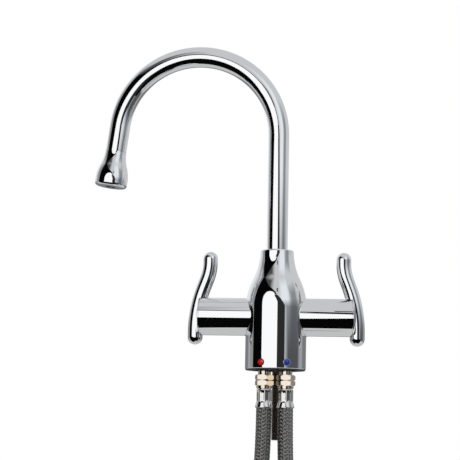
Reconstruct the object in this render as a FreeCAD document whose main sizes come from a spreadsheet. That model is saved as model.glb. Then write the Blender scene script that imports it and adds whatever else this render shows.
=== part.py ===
"""Boiling water tap with two levers and a swan-neck spout, as a parametric assembly.

The worktop is the plane z = 0 and the tap's centre line is the Z axis. The two barrels lie along X,
with the hot side at -X and the cold side at +X, and the user stands at -Y. At rest the spout
points to -X and both levers stand upright, which is their closed position.
"""
import FreeCAD, Part
import Sketcher
import math
import os
from types import SimpleNamespace

HOT = SimpleNamespace(name="hot", sign=-1)
COLD = SimpleNamespace(name="cold", sign=1)
SIDES = (HOT, COLD)

SIZES = {
    # Casting
    "body_radius": 27.3,
    "body_height": 108.4,
    "collar_radius": 15.1,
    "shoulder_start": 56.0,
    "barrel_radius": 17.0,
    "barrel_end": 69.0,
    "arm_height": 48.0,
    "saddle_fillet": 1.2,
    "collar_fillet": 1.4,
    "edge_break": 0.4,
    # Base
    "seal_thickness": 1.0,
    "seal_width": 5.9,
    "seal_margin": 0.4,
    "stud_radius": 3.9,
    "stud_back": 13.0,
    "stud_drop": 62.0,
    "stud_grip": 12.0,
    "stud_slot": 1.2,
    "stud_relief": 1.4,
    "stud_relief_depth": 0.6,
    # Hot and cold marks
    "mark_angle": 25.0,
    "mark_height": 6.2,
    "mark_radius": 2.75,
    "mark_depth": 2.4,
    "mark_crown": 0.55,
    "bezel_width": 0.6,
    "bezel_rise": 0.25,
    # Spout socket and foot, placed by their depths below the top of the collar
    "socket_radius": 11.0,
    "socket_depth": 36.4,
    "chamber_radius": 6.0,
    "chamber_depth": 11.0,
    "glide_depth": 10.4,
    "foot_bore": 3.6,
    "foot_spigot": 8.0,
    "oring_groove": 2.3,
    "oring_section": 0.83,
    "lower_oring_rise": 5.0,
    "upper_oring_drop": 5.5,
    "keeper_radius": 2.0,
    "keeper_length": 7.6,
    "keeper_offset": 0.25,
    "keeper_groove_depth": 1.9,
    # Spout
    "tube_radius": 9.5,
    "tube_wall": 1.0,
    "bend_start": 214.4,
    "bend_radius": 73.8,
    "outlet_tilt": 7.4,
    "outlet_run": 24.8,
    "liner_radius": 5.0,
    "liner_wall": 1.4,
    "liner_in_foot": 8.0,
    "liner_in_nozzle": 5.0,
    # Nozzle and aerator
    "nozzle_neck": 9.7,
    "nozzle_radius": 14.9,
    "nozzle_flare": 27.0,
    "nozzle_length": 33.3,
    "nozzle_lip": 2.8,
    "nozzle_seam": 0.6,
    "nozzle_bore": 3.6,
    "aerator_radius": 4.9,
    "aerator_length": 11.0,
    "aerator_set_in": 0.8,
    "aerator_plate": 1.4,
    "aerator_hole": 0.5,
    "aerator_pitch": 1.75,
    "aerator_seal": 1.5,
    # Valve bore in each barrel
    "mouth_radius": 15.2,
    "mouth_depth": 9.0,
    "valve_radius": 10.5,
    "seat_distance": 34.0,
    "seat_bore": 4.5,
    "outlet_drill": 2.2,
    "outlet_drill_tilt": 13.0,
    "outlet_drill_start": 44.0,
    # Ceramic cartridge
    "cartridge_radius": 9.2,
    "cartridge_thread": 15.0,
    "cartridge_flange": 13.0,
    "cartridge_flange_thickness": 2.0,
    "cartridge_hex": 20.0,
    "cartridge_hex_height": 3.2,
    "cartridge_neck": 6.0,
    "cartridge_neck_end": 67.6,
    "disc_radius": 7.5,
    "disc_thickness": 3.0,
    "seal_ring_height": 2.8,
    "seal_ring_bore": 5.2,
    "port_radius": 1.55,
    "port_reach": 4.35,
    "window_width": 8.0,
    "window_height": 4.6,
    "cartridge_oring": 0.9,
    # Spindle
    "spindle_radius": 4.0,
    "spindle_waist": 2.8,
    "spindle_collar": 7.3,
    "spindle_collar_place": 50.2,
    "spindle_collar_height": 1.8,
    "spindle_square": 6.6,
    "spindle_square_start": 68.6,
    "spindle_end": 76.0,
    "spindle_oring": 0.5,
    "spindle_oring_place": 57.0,
    "drive_width": 2.9,
    "drive_depth": 1.5,
    "tongue_length": 12.0,
    "tongue_root": 0.9,
    # Lever
    "rod_radius": 6.7,
    "lever_foot_out": 73.0,
    "lever_top_out": 60.4,
    "lever_drop": 18.8,
    "lever_rise": 52.2,
    "lever_foot_run": 6.5,
    "lever_lean": 20.5,
    "lever_lower_bend": 110.0,
    "lever_upper_bend": 45.0,
    "hub_rim": 0.6,
    "hub_dome": 2.3,
    "hub_skirt": 1.7,
    "hub_skirt_depth": 4.6,
    "lever_screw_radius": 2.0,
    "lever_screw_length": 3.0,
    "lever_screw_place": 73.3,
    # Hose tails
    "hose_spread": 9.6,
    "hose_forward": 2.0,
    "tail_radius": 4.95,
    "tail_bore": 2.6,
    "tail_grip": 11.0,
    "tail_neck": 4.0,
    "tail_neck_radius": 5.8,
    "tail_hex": 15.0,
    "tail_hex_height": 9.8,
    "hot_hex_turn": -12.0,
    "cold_hex_turn": 3.0,
    "tail_groove_depth": 0.2,
    "tail_flange": 7.2,
    "tail_flange_thickness": 2.5,
    "tail_flange_recess": 0.6,
    "tail_nipple": 3.5,
    "tail_nipple_length": 13.0,
    "tail_oring": 1.0,
    "tail_oring_depth": 1.9,
    "water_bore": 3.5,
    # Hoses
    "hose_radius": 7.0,
    "hose_wall": 2.6,
    "ferrule_radius": 6.9,
    "ferrule_length": 12.0,
    "flare_radius": 8.0,
    "flare_length": 5.0,
    "flare_lip": 0.8,
    # Union at the lower end of each hose
    "union_hex": 24.0,
    "union_length": 16.0,
    "union_bore": 9.4,
    "union_relief": 10.0,
    "union_eye": 6.4,
    "union_shoulder": 3.0,
    "stem_radius": 5.8,
    "stem_flange": 8.8,
    "stem_flange_thickness": 2.4,
    "union_washer": 2.0,
    # Fits
    "running_fit": 0.05,
    "close_fit": 0.03,
    "face_gap": 0.3,
    "film_gap": 0.05,
}

# Hand-chosen corners of each hose's centre line, measured from where it leaves its upper ferrule
# and going down to its lower ferrule.
HOSE_ROUTES = {
    "hot": (
        (0, 0, 0), (0, 0, -46.7), (-7.4, -5, -120.7),
        (-23.4, -2, -202.7), (-31.4, 5, -278.7), (-31.4, 5, -332.7),
    ),
    "cold": (
        (0, 0, 0), (0, 0, -44.7), (5.4, -6, -116.7),
        (21.4, -7, -198.7), (34.4, 0, -276.7), (34.4, 0, -332.7),
    ),
}

# A hexagon's bevels and its V groove: how far their cutters reach as a share of the size across
# the flats, which is just past the corners at 0.577, and how steeply they fall towards them.
BEVEL_REACH = 0.6
BEVEL_SLOPE = 0.85
GROOVE_SLOPE = 0.7

# How much of each arc's shorter neighbouring run the hoses' rounded corners take up.
ARC_SHARE = 0.45

doc = FreeCAD.newDocument("BoilingWaterTap")
sub_parts = []


# ---------------------------------------------------------------- sizes and expressions

class Size:
    """A length or angle that carries both its value and the sheet expression that gives it."""

    def __init__(self, value, text):
        self.value = value
        self.text = text

    def __add__(self, other):
        other = as_size(other)
        return Size(self.value + other.value, f"({self.text} + {other.text})")

    def __sub__(self, other):
        other = as_size(other)
        return Size(self.value - other.value, f"({self.text} - {other.text})")

    def __mul__(self, other):
        other = as_size(other)
        return Size(self.value * other.value, f"({self.text} * {other.text})")

    def __truediv__(self, other):
        other = as_size(other)
        return Size(self.value / other.value, f"({self.text} / {other.text})")

    def __neg__(self):
        return Size(-self.value, f"(0 - {self.text})")


def as_size(number):
    return number if isinstance(number, Size) else Size(float(number), f"({number})")


def sine(angle):
    return Size(math.sin(math.radians(angle.value)), f"sin({angle.text})")


def cosine(angle):
    return Size(math.cos(math.radians(angle.value)), f"cos({angle.text})")


def write_sheet():
    """Write the driving sizes to the sheet and return them by name."""
    sheet = doc.addObject("Spreadsheet::Sheet", "Sizes")
    for row, (alias, value) in enumerate(SIZES.items(), start=1):
        sheet.set(f"A{row}", alias.replace("_", " "))
        sheet.set(f"B{row}", str(value))
        sheet.setAlias(f"B{row}", alias)
    doc.recompute()
    return SimpleNamespace(**{alias: Size(sheet.get(alias), f"Sizes.{alias}") for alias in SIZES})


size = write_sheet()
ORIGIN = (as_size(0), as_size(0), as_size(0))


# ---------------------------------------------------------------- modelling helpers

def new_body(label):
    body = doc.addObject("PartDesign::Body", label)
    body.Label = label
    sub_parts.append(body)
    return body


def bind(thing, prop, value):
    value = as_size(value)
    thing.setExpression(prop, value.text)


def put(thing, place=ORIGIN, rotation=FreeCAD.Rotation()):
    """Set a placement whose three coordinates follow the sheet."""
    place = [as_size(coordinate) for coordinate in place]
    thing.Placement = FreeCAD.Placement(FreeCAD.Vector(*[c.value for c in place]), rotation)
    for axis, coordinate in zip("xyz", place):
        bind(thing, f"Placement.Base.{axis}", coordinate)


def arc_centre(start, end, radius):
    """Centre of the arc from start to end: left of the travel for a positive radius, else right."""
    across = (end[0] - start[0], end[1] - start[1])
    chord = math.hypot(*across)
    rise = math.sqrt(max(radius ** 2 - (chord / 2) ** 2, 0.0)) * (1 if radius > 0 else -1)
    middle = ((start[0] + end[0]) / 2, (start[1] + end[1]) / 2)
    return (middle[0] - rise * across[1] / chord, middle[1] + rise * across[0] / chord)


def draw(body, name, plane, corners, closed=True, lift=None):
    """Sketch an outline on an origin plane of the body, each corner fixed by two sheet sizes.

    A corner is (x, y), or (x, y, radius) where an arc leads from it to the next corner.
    """
    sketch = body.newObject("Sketcher::SketchObject", name)
    plane_feature = next(f for f in body.Origin.OriginFeatures if f.Role == plane)
    sketch.AttachmentSupport = [(plane_feature, "")]
    sketch.MapMode = "FlatFace"
    if lift is not None:
        sketch.AttachmentOffset = FreeCAD.Placement(FreeCAD.Vector(0, 0, lift.value), FreeCAD.Rotation())
        bind(sketch, "AttachmentOffset.Base.z", lift)
    corners = [tuple(as_size(entry) for entry in corner) for corner in corners]
    spots = [(corner[0].value, corner[1].value) for corner in corners]
    steps = len(corners) if closed else len(corners) - 1
    ends = []
    rules = []
    driven = []
    for step in range(steps):
        start, end = spots[step], spots[(step + 1) % len(spots)]
        if len(corners[step]) == 3:
            radius = corners[step][2]
            centre = arc_centre(start, end, radius.value)
            first, last = (start, end) if radius.value > 0 else (end, start)
            angles = [math.atan2(spot[1] - centre[1], spot[0] - centre[0]) for spot in (first, last)]
            circle = Part.Circle(FreeCAD.Vector(*centre, 0), FreeCAD.Vector(0, 0, 1), abs(radius.value))
            edge = sketch.addGeometry(Part.ArcOfCircle(circle, angles[0], angles[1]), False)
            ends.append((edge, 1, 2) if radius.value > 0 else (edge, 2, 1))
            positive = radius if radius.value > 0 else -radius
            rules.append(Sketcher.Constraint("Radius", edge, abs(radius.value)))
            driven.append(positive)
        else:
            line = Part.LineSegment(FreeCAD.Vector(*start, 0), FreeCAD.Vector(*end, 0))
            edge = sketch.addGeometry(line, False)
            ends.append((edge, 1, 2))
    for step, (edge, start_point, end_point) in enumerate(ends):
        for kind, value in zip(("DistanceX", "DistanceY"), corners[step][:2]):
            rules.append(Sketcher.Constraint(kind, -1, 1, edge, start_point, value.value))
            driven.append(value)
    if not closed:
        edge, start_point, end_point = ends[-1]
        for kind, value in zip(("DistanceX", "DistanceY"), corners[-1][:2]):
            rules.append(Sketcher.Constraint(kind, -1, 1, edge, end_point, value.value))
            driven.append(value)
    joins = list(zip(ends, ends[1:] + ends[:1])) if closed else list(zip(ends, ends[1:]))
    numbers = sketch.addConstraint(rules)
    sketch.addConstraint([Sketcher.Constraint("Coincident", a[0], a[2], b[0], b[1]) for a, b in joins])
    for number, value in zip(numbers, driven):
        if value.text.count("Sizes."):
            sketch.setExpression(f"Constraints[{number}]", value.text)
    sketch.Visibility = False
    return sketch


def ring_sketch(body, name, plane, radii, centre, lift):
    """Sketch one or two circles about the same centre, for a rod or a tube."""
    sketch = draw(body, name, plane, [], lift=lift)
    centre = [as_size(coordinate) for coordinate in centre]
    for radius in radii:
        spot = FreeCAD.Vector(centre[0].value, centre[1].value, 0)
        edge = sketch.addGeometry(Part.Circle(spot, FreeCAD.Vector(0, 0, 1), radius.value), False)
        rules = [("Radius", radius), ("DistanceX", centre[0]), ("DistanceY", centre[1])]
        for kind, value in rules:
            where = (edge,) if kind == "Radius" else (-1, 1, edge, 3)
            number = sketch.addConstraint(Sketcher.Constraint(kind, *where, value.value))
            if value.text.count("Sizes."):
                sketch.setExpression(f"Constraints[{number}]", value.text)
    return sketch


def turn(body, name, corners, cut=False):
    """Turn an outline of (radius, height) corners about the body's own Z axis."""
    sketch = draw(body, name + "_outline", "XZ_Plane", corners)
    feature = body.newObject("PartDesign::Groove" if cut else "PartDesign::Revolution", name)
    feature.Profile = sketch
    feature.ReferenceAxis = (sketch, ["V_Axis"])
    feature.Angle = 360
    doc.recompute()
    return feature


def sweep(body, name, path, radii, start_plane, start_centre, lift):
    """Sweep one circle, or two for a tube, along an open outline drawn on the XZ plane."""
    spine = draw(body, name + "_path", "XZ_Plane", path, closed=False)
    profile = ring_sketch(body, name + "_section", start_plane, radii, start_centre, lift)
    doc.recompute()
    feature = body.newObject("PartDesign::AdditivePipe", name)
    feature.Profile = profile
    feature.Spine = (spine, [f"Edge{number + 1}" for number in range(len(path) - 1)])
    doc.recompute()
    return feature


def primitive(body, kind, name, sizes, place=ORIGIN, rotation=FreeCAD.Rotation()):
    """Add or cut a primitive such as a cylinder, with its sizes and place bound to the sheet."""
    feature = body.newObject(f"PartDesign::{kind}", name)
    for prop, value in sizes.items():
        value = as_size(value)
        setattr(feature, prop, value.value)
        bind(feature, prop, value)
    put(feature, place, rotation)
    doc.recompute()
    return feature


def drill(body, name, radius, length, place, rotation=FreeCAD.Rotation()):
    return primitive(body, "SubtractiveCylinder", name, {"Radius": radius, "Height": length}, place, rotation)


def hexagon(body, name, across_flats, height, place, cut=False):
    """Add or cut a hexagonal prism, given its size across the flats."""
    kind = "SubtractivePrism" if cut else "AdditivePrism"
    corner_radius = Size(across_flats.value / math.sqrt(3), f"({across_flats.text} / sqrt(3))")
    return primitive(body, kind, name, {"Circumradius": corner_radius, "Height": height}, place)


def bevel_hexagon(body, name, across_flats, height, upward):
    """Turn the corners of a hexagon's end face down to the circle inside its flats."""
    inner = across_flats / 2
    outer = across_flats * BEVEL_REACH
    drop = (outer - inner) * (-BEVEL_SLOPE if upward else BEVEL_SLOPE)
    return turn(body, name, [(inner, height), (outer, height), (outer, height + drop)], cut=True)


def round_edges(body, name, kind, radius, chosen):
    """Fillet or chamfer the edges of the body's last shape for which chosen(edge) holds."""
    doc.recompute()
    base = body.Tip
    picked = [f"Edge{i}" for i, edge in enumerate(base.Shape.Edges, start=1) if chosen(edge)]
    feature = body.newObject(f"PartDesign::{kind}", name)
    feature.Base = (base, picked)
    prop = "Radius" if kind == "Fillet" else "Size"
    setattr(feature, prop, radius.value)
    bind(feature, prop, radius)
    doc.recompute()
    return feature


ALONG_Y = FreeCAD.Rotation(FreeCAD.Vector(1, 0, 0), -90)


def valve_rotation(side):
    """Turn a valve piece's own Z axis to point out along its barrel, with its own X axis upward."""
    if side is HOT:
        return FreeCAD.Rotation(FreeCAD.Vector(0, 1, 0), -90)
    return FreeCAD.Rotation(FreeCAD.Vector(1, 0, 1), 180)


def put_in_valve(thing, side):
    put(thing, (0, 0, size.arm_height), valve_rotation(side))


def torus(label, ring_radius, section_radius, height=0):
    """An O-ring as a free-standing part whose height is built into its own placement."""
    ring = doc.addObject("Part::Torus", label)
    ring.Label = label
    bind(ring, "Radius1", ring_radius)
    bind(ring, "Radius2", section_radius)
    put(ring, (0, 0, height))
    sub_parts.append(ring)
    return ring


# ---------------------------------------------------------------- casting and base

def collar_levels():
    """Heights in the spout socket, which follow the top of the collar."""
    floor = size.body_height - size.socket_depth
    foot_top = size.body_height - size.glide_depth
    lower_oring = floor + size.lower_oring_rise
    upper_oring = foot_top - size.upper_oring_drop
    return SimpleNamespace(chamber=floor - size.chamber_depth, floor=floor, foot_top=foot_top,
                           lower_oring=lower_oring, upper_oring=upper_oring,
                           keeper=(lower_oring + upper_oring) / 2 - size.keeper_offset,
                           liner=foot_top - size.liner_in_foot)


def make_tap_body():
    """One casting: bottle-shaped body, two side barrels, and all the bores that it is drilled with."""
    body = new_body("tap_body")
    height = size.body_height - size.shoulder_start
    waist = size.body_radius - size.collar_radius
    curve = (height * height + waist * waist) / (waist * 4)
    middle = ((size.body_radius + size.collar_radius) / 2, (size.body_height + size.shoulder_start) / 2)
    turn(body, "bottle", [
        (0, size.seal_thickness),
        (size.body_radius - size.edge_break, size.seal_thickness),
        (size.body_radius, size.seal_thickness + size.edge_break),
        (size.body_radius, size.shoulder_start, curve),
        (*middle, -curve),
        (size.collar_radius, size.body_height),
        (0, size.body_height),
    ])
    along_x = FreeCAD.Rotation(FreeCAD.Vector(0, 1, 0), 90)
    barrels = {"Radius": size.barrel_radius, "Height": size.barrel_end * 2}
    primitive(body, "AdditiveCylinder", "barrels", barrels, (-size.barrel_end, 0, size.arm_height), along_x)
    end = size.barrel_end.value
    round_edges(body, "saddles", "Fillet", size.saddle_fillet, is_saddle)
    round_edges(body, "collar_round", "Fillet", size.collar_fillet,
                lambda edge: is_circle_at(edge, "z", size.body_height.value))
    round_edges(body, "barrel_breaks", "Chamfer", size.edge_break,
                lambda edge: is_circle_at(edge, "x", end) or is_circle_at(edge, "x", -end))
    level = collar_levels()
    drill(body, "spout_socket", size.socket_radius, size.socket_depth, (0, 0, level.floor))
    drill(body, "mixing_chamber", size.chamber_radius, size.chamber_depth, (0, 0, level.chamber))
    drill(body, "keeper_hole", size.keeper_radius, size.body_radius, (0, 0, level.keeper), ALONG_Y)
    drill(body, "stud_hole", size.stud_radius + size.close_fit, size.stud_grip + 1,
          (0, size.stud_back, size.seal_thickness))
    for side in SIDES:
        drill_valve_bore(body, side)
        drill_hose_socket(body, side)
        drill_mark_pocket(body, side)
    return body


def is_circle_at(edge, axis, level):
    """Whether an edge lies in one plane across the given axis at the given level."""
    box = edge.BoundBox
    low, high = (box.XMin, box.XMax) if axis == "x" else (box.ZMin, box.ZMax)
    return abs(low - level) < 1e-4 and abs(high - level) < 1e-4


def is_saddle(edge):
    """Whether an edge is where a barrel meets the bottle, so off both of their end faces."""
    box = edge.BoundBox
    inside = box.XMax < size.barrel_end.value - 1 and box.XMin > 1 - size.barrel_end.value
    near_arm = box.ZMin > size.arm_height.value - size.barrel_radius.value - 1
    near_arm = near_arm and box.ZMax < size.arm_height.value + size.barrel_radius.value + 1
    return inside and near_arm and (box.XMin > 1 or box.XMax < -1) and box.XLength > 0.5


def drill_valve_bore(body, side):
    """Bore one barrel for its cartridge, with the seat bore and the drilling up to the chamber."""
    turned = valve_rotation(side)
    along = side.sign
    bores = (
        ("mouth", size.mouth_radius, size.barrel_end - size.mouth_depth, size.mouth_depth),
        ("valve_bore", size.valve_radius, size.seat_distance, size.barrel_end - size.seat_distance),
        ("seat_bore", size.seat_bore, size.hose_spread, size.seat_distance),
    )
    for name, radius, start, length in bores:
        drill(body, f"{side.name}_{name}", radius, length, (start * along, 0, size.arm_height), turned)
    run = size.outlet_drill_start / cosine(size.outlet_drill_tilt)
    height = size.arm_height + size.valve_radius - size.outlet_drill
    tilt = FreeCAD.Rotation(FreeCAD.Vector(0, 1, 0), -along * (90 - size.outlet_drill_tilt.value))
    drill(body, f"{side.name}_outlet_drill", size.outlet_drill, run,
          (size.outlet_drill_start * along, 0, height), tilt)


def drill_hose_socket(body, side):
    """Drill the threaded socket for a hose tail, its O-ring seat and the way up to the valve seat."""
    spot = (size.hose_spread * side.sign, -size.hose_forward, size.seal_thickness)
    drill(body, f"{side.name}_hose_socket", size.tail_radius + size.close_fit, size.tail_grip + 1, spot)
    # The tail's groove takes a quarter of the O-ring's width, and the rest stands out from its thread.
    seat_radius = size.tail_radius + size.tail_oring * 3 / 2
    drill(body, f"{side.name}_oring_seat", seat_radius, size.tail_oring_depth, spot)
    drill(body, f"{side.name}_riser", size.water_bore, size.arm_height - size.seal_thickness, spot)


def mark_turn(side):
    """Point a mark's own Z axis out of the casting at its angle from the front."""
    lying = FreeCAD.Rotation(FreeCAD.Vector(1, 0, 0), 90)
    return FreeCAD.Rotation(FreeCAD.Vector(0, 0, 1), side.sign * size.mark_angle.value).multiply(lying)


def mark_place(side, distance):
    """The point at a distance from the tap's centre line, along the mark's own direction."""
    across = distance * sine(size.mark_angle) * side.sign
    return (across, -distance * cosine(size.mark_angle), size.mark_height)


def drill_mark_pocket(body, side):
    floor = size.body_radius - size.mark_depth
    drill(body, f"{side.name}_mark_pocket", size.mark_radius + size.bezel_width, size.mark_depth * 2,
          mark_place(side, floor), mark_turn(side))


def make_base_seal():
    """Rubber ring that the casting stands on."""
    body = new_body("base_seal")
    outer = size.body_radius - size.seal_margin
    inner = outer - size.seal_width
    turn(body, "ring", [
        (inner, 0),
        (outer - size.edge_break, 0),
        (outer, size.edge_break),
        (outer, size.seal_thickness),
        (inner, size.seal_thickness),
    ])


def make_mark_bezels():
    """The two thin chrome rings pressed in around the hot and cold marks."""
    outer = size.mark_radius + size.bezel_width - size.close_fit
    rings = []
    for side in SIDES:
        for name, radius in (("outside", outer), ("inside", size.mark_radius + size.close_fit)):
            cylinder = doc.addObject("Part::Cylinder", f"{side.name}_bezel_{name}")
            bind(cylinder, "Radius", radius)
            bind(cylinder, "Height", size.mark_depth + size.bezel_rise)
            put(cylinder, mark_place(side, size.body_radius - size.mark_depth), mark_turn(side))
        ring = doc.addObject("Part::Cut", f"{side.name}_bezel")
        ring.Base = doc.getObject(f"{side.name}_bezel_outside")
        ring.Tool = doc.getObject(f"{side.name}_bezel_inside")
        rings.append(ring)
    pair = doc.addObject("Part::Compound", "mark_bezels")
    pair.Links = rings
    pair.Label = "mark_bezels"
    sub_parts.append(pair)


def make_mark(side):
    """Coloured button with a shallow crown, red on the hot side and blue on the cold."""
    body = new_body(f"{side.name}_mark")
    edge = size.mark_depth + size.bezel_rise
    crown = size.mark_crown
    curve = (size.mark_radius * size.mark_radius + crown * crown) / (crown * 2)
    turn(body, "button", [
        (0, 0),
        (size.mark_radius, 0),
        (size.mark_radius, edge, curve),
        (0, edge + crown),
    ])
    put(body, mark_place(side, size.body_radius - size.mark_depth), mark_turn(side))


def make_fixing_stud():
    """Threaded stud behind the hoses, slotted at its lower end for a screwdriver."""
    body = new_body("fixing_stud")
    chamfer = size.edge_break * 2
    turn(body, "rod", [
        (0, -size.stud_drop),
        (size.stud_radius - chamfer, -size.stud_drop),
        (size.stud_radius, -size.stud_drop + chamfer),
        (size.stud_radius, size.seal_thickness - size.stud_relief),
        (size.stud_radius - size.stud_relief_depth, size.seal_thickness - size.stud_relief),
        (size.stud_radius - size.stud_relief_depth, size.seal_thickness),
        (size.stud_radius, size.seal_thickness),
        (size.stud_radius, size.stud_grip - chamfer),
        (size.stud_radius - chamfer, size.stud_grip),
        (0, size.stud_grip),
    ])
    slot = {"Length": size.stud_radius * 3, "Width": size.stud_slot, "Height": size.stud_slot * 2}
    primitive(body, "SubtractiveBox", "slot", slot,
              (-size.stud_radius * 1.5, -size.stud_slot / 2, -size.stud_drop - size.stud_slot / 2))
    put(body, (0, size.stud_back, 0))


def make_spout_keeper():
    """Grub screw at the back of the collar: its plain tip runs in the spout foot's groove."""
    body = new_body("spout_keeper")
    tip = size.socket_radius - size.keeper_groove_depth + size.face_gap
    tip_radius = size.keeper_radius - size.face_gap
    start = size.socket_radius + size.face_gap
    end = tip + size.keeper_length
    turn(body, "screw", [
        (0, tip),
        (tip_radius, tip),
        (tip_radius, start),
        (size.keeper_radius - size.close_fit, start),
        (size.keeper_radius - size.close_fit, end - size.edge_break),
        (size.keeper_radius - size.edge_break, end),
        (0, end),
    ])
    hexagon(body, "key_socket", size.keeper_radius, size.keeper_radius * 2,
            (0, 0, end - size.keeper_radius), cut=True)
    put(body, (0, 0, collar_levels().keeper), ALONG_Y)


def make_glide_ring():
    """Plastic bearing ring that centres the spout tube in the top of the collar."""
    body = new_body("glide_ring")
    bottom = collar_levels().foot_top + size.face_gap
    turn(body, "sleeve", [
        (size.tube_radius + size.running_fit, bottom),
        (size.socket_radius - size.close_fit, bottom),
        (size.socket_radius - size.close_fit, size.body_height - size.edge_break),
        (size.tube_radius + size.running_fit, size.body_height - size.edge_break),
    ])


# ---------------------------------------------------------------- spout

def spout_path(start):
    """Centre line of the swan neck from a height in the collar to its seam with the nozzle."""
    turned = as_size(180) - size.outlet_tilt
    bend_end = (-size.bend_radius + size.bend_radius * cosine(turned),
                size.bend_start + size.bend_radius * sine(turned))
    seam = (bend_end[0] - size.outlet_run * sine(turned), bend_end[1] + size.outlet_run * cosine(turned))
    return [(0, start), (0, size.bend_start, size.bend_radius), bend_end, seam]


def make_spout_tube():
    """Bent chrome tube of one radius, with a short straight run down to the nozzle."""
    body = new_body("spout_tube")
    start = collar_levels().foot_top
    sweep(body, "swan_neck", spout_path(start), (size.tube_radius, size.tube_radius - size.tube_wall),
          "XY_Plane", (0, 0), start)


def make_spout_liner():
    """Soft liner hose that carries the boiling water and keeps the chrome tube cooler."""
    body = new_body("spout_liner")
    start = collar_levels().liner
    path = spout_path(start)
    seam_x, seam_z = path[-1]
    path[-1] = (seam_x - size.liner_in_nozzle * sine(size.outlet_tilt),
                seam_z - size.liner_in_nozzle * cosine(size.outlet_tilt))
    sweep(body, "liner", path, (size.liner_radius, size.liner_radius - size.liner_wall),
          "XY_Plane", (0, 0), start)


def make_spout_foot():
    """Turned brass foot that the tube is brazed to, with two O-ring grooves and a keeper groove."""
    body = new_body("spout_foot")
    outer = size.socket_radius - size.running_fit
    spigot = size.tube_radius - size.tube_wall - size.running_fit
    ring_floor = size.socket_radius - size.oring_section * 2 - size.close_fit * 2
    liner_seat = size.liner_radius + size.close_fit
    level = collar_levels()
    floor = level.floor + size.face_gap
    spigot_top = level.foot_top + size.foot_spigot
    turn(body, "foot", [
        (size.foot_bore, floor),
        (outer - size.edge_break, floor),
        (outer, floor + size.edge_break),
        (outer, level.foot_top),
        (spigot, level.foot_top),
        (spigot, spigot_top),
        (liner_seat, spigot_top),
        (liner_seat, level.liner),
        (size.foot_bore, level.liner),
    ])
    keeper_floor = size.socket_radius - size.keeper_groove_depth
    grooves = (
        ("lower_oring_groove", level.lower_oring, size.oring_groove, ring_floor),
        ("upper_oring_groove", level.upper_oring, size.oring_groove, ring_floor),
        ("keeper_groove", level.keeper, size.keeper_radius * 2, keeper_floor),
    )
    for name, height, width, depth in grooves:
        turn(body, name, [
            (depth, height - width / 2),
            (outer + 1, height - width / 2),
            (outer + 1, height + width / 2),
            (depth, height + width / 2),
        ], cut=True)


def make_spout_orings():
    ring_radius = size.socket_radius - size.oring_section - size.close_fit
    level = collar_levels()
    torus("spout_oring_lower", ring_radius, size.oring_section, level.lower_oring)
    torus("spout_oring_upper", ring_radius, size.oring_section, level.upper_oring)


def put_at_outlet(thing):
    """Set a nozzle piece's own Z axis along the spout's end, pointing back up into the tube."""
    seam = spout_path(collar_levels().foot_top)[-1]
    put(thing, (seam[0], 0, seam[1]), FreeCAD.Rotation(FreeCAD.Vector(0, 1, 0), size.outlet_tilt.value))
    thing.setExpression("Placement.Rotation.Angle", size.outlet_tilt.text)


def make_outlet_nozzle():
    """Bell-shaped nozzle on the spout's end, hollow for the liner above and the aerator below."""
    body = new_body("outlet_nozzle")
    flare = size.nozzle_radius - size.nozzle_neck
    curve = (size.nozzle_flare * size.nozzle_flare + flare * flare) / (flare * 4)
    spigot = size.tube_radius - size.tube_wall - size.running_fit
    liner_seat = size.liner_radius + size.close_fit
    shelf = -size.nozzle_length + size.aerator_set_in + size.aerator_length + size.aerator_seal
    lip = size.nozzle_lip
    turn(body, "bell", [
        (size.aerator_radius + size.close_fit, shelf),
        (size.aerator_radius + size.close_fit, -size.nozzle_length),
        (size.nozzle_radius - lip, -size.nozzle_length, lip),
        (size.nozzle_radius, -size.nozzle_length + lip),
        (size.nozzle_radius, -size.nozzle_flare, curve),
        ((size.nozzle_radius + size.nozzle_neck) / 2, -size.nozzle_flare / 2, -curve),
        (size.nozzle_neck, 0),
        (spigot, 0),
        (spigot, size.foot_spigot),
        (liner_seat, size.foot_spigot),
        (liner_seat, -size.liner_in_nozzle - size.face_gap),
        (size.nozzle_bore, -size.liner_in_nozzle - size.face_gap),
        (size.nozzle_bore, shelf),
    ])
    seam_floor = size.tube_radius - size.edge_break
    turn(body, "seam_groove", [
        (seam_floor, -size.nozzle_seam),
        (size.nozzle_radius, -size.nozzle_seam),
        (size.nozzle_radius, 0),
        (seam_floor, 0),
    ], cut=True)
    put_at_outlet(body)


def make_aerator():
    """Screw-in flow straightener: a cup whose outlet plate has rings of small holes."""
    body = new_body("aerator")
    floor = -size.nozzle_length + size.aerator_set_in
    inner = size.aerator_radius - 1
    turn(body, "cup", [
        (0, floor),
        (size.aerator_radius, floor),
        (size.aerator_radius, floor + size.aerator_length),
        (inner, floor + size.aerator_length),
        (inner, floor + size.aerator_plate),
        (0, floor + size.aerator_plate),
    ])
    for ring, count in enumerate((1, 6, 12)):
        for step in range(count):
            angle = as_size(360.0 * step / count)
            reach = size.aerator_pitch * ring
            drill(body, f"jet_{ring}_{step}", size.aerator_hole, size.aerator_plate * 2,
                  (reach * cosine(angle), reach * sine(angle), floor - size.aerator_plate / 2))
    put_at_outlet(body)


def make_aerator_seal():
    """Flat rubber washer between the aerator and the nozzle's shelf."""
    body = new_body("aerator_seal")
    top = -size.nozzle_length + size.aerator_set_in + size.aerator_length + size.aerator_seal
    turn(body, "washer", [
        (size.nozzle_bore, top - size.aerator_seal),
        (size.aerator_radius, top - size.aerator_seal),
        (size.aerator_radius, top),
        (size.nozzle_bore, top),
    ])
    put_at_outlet(body)


# ---------------------------------------------------------------- ceramic valves

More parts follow.
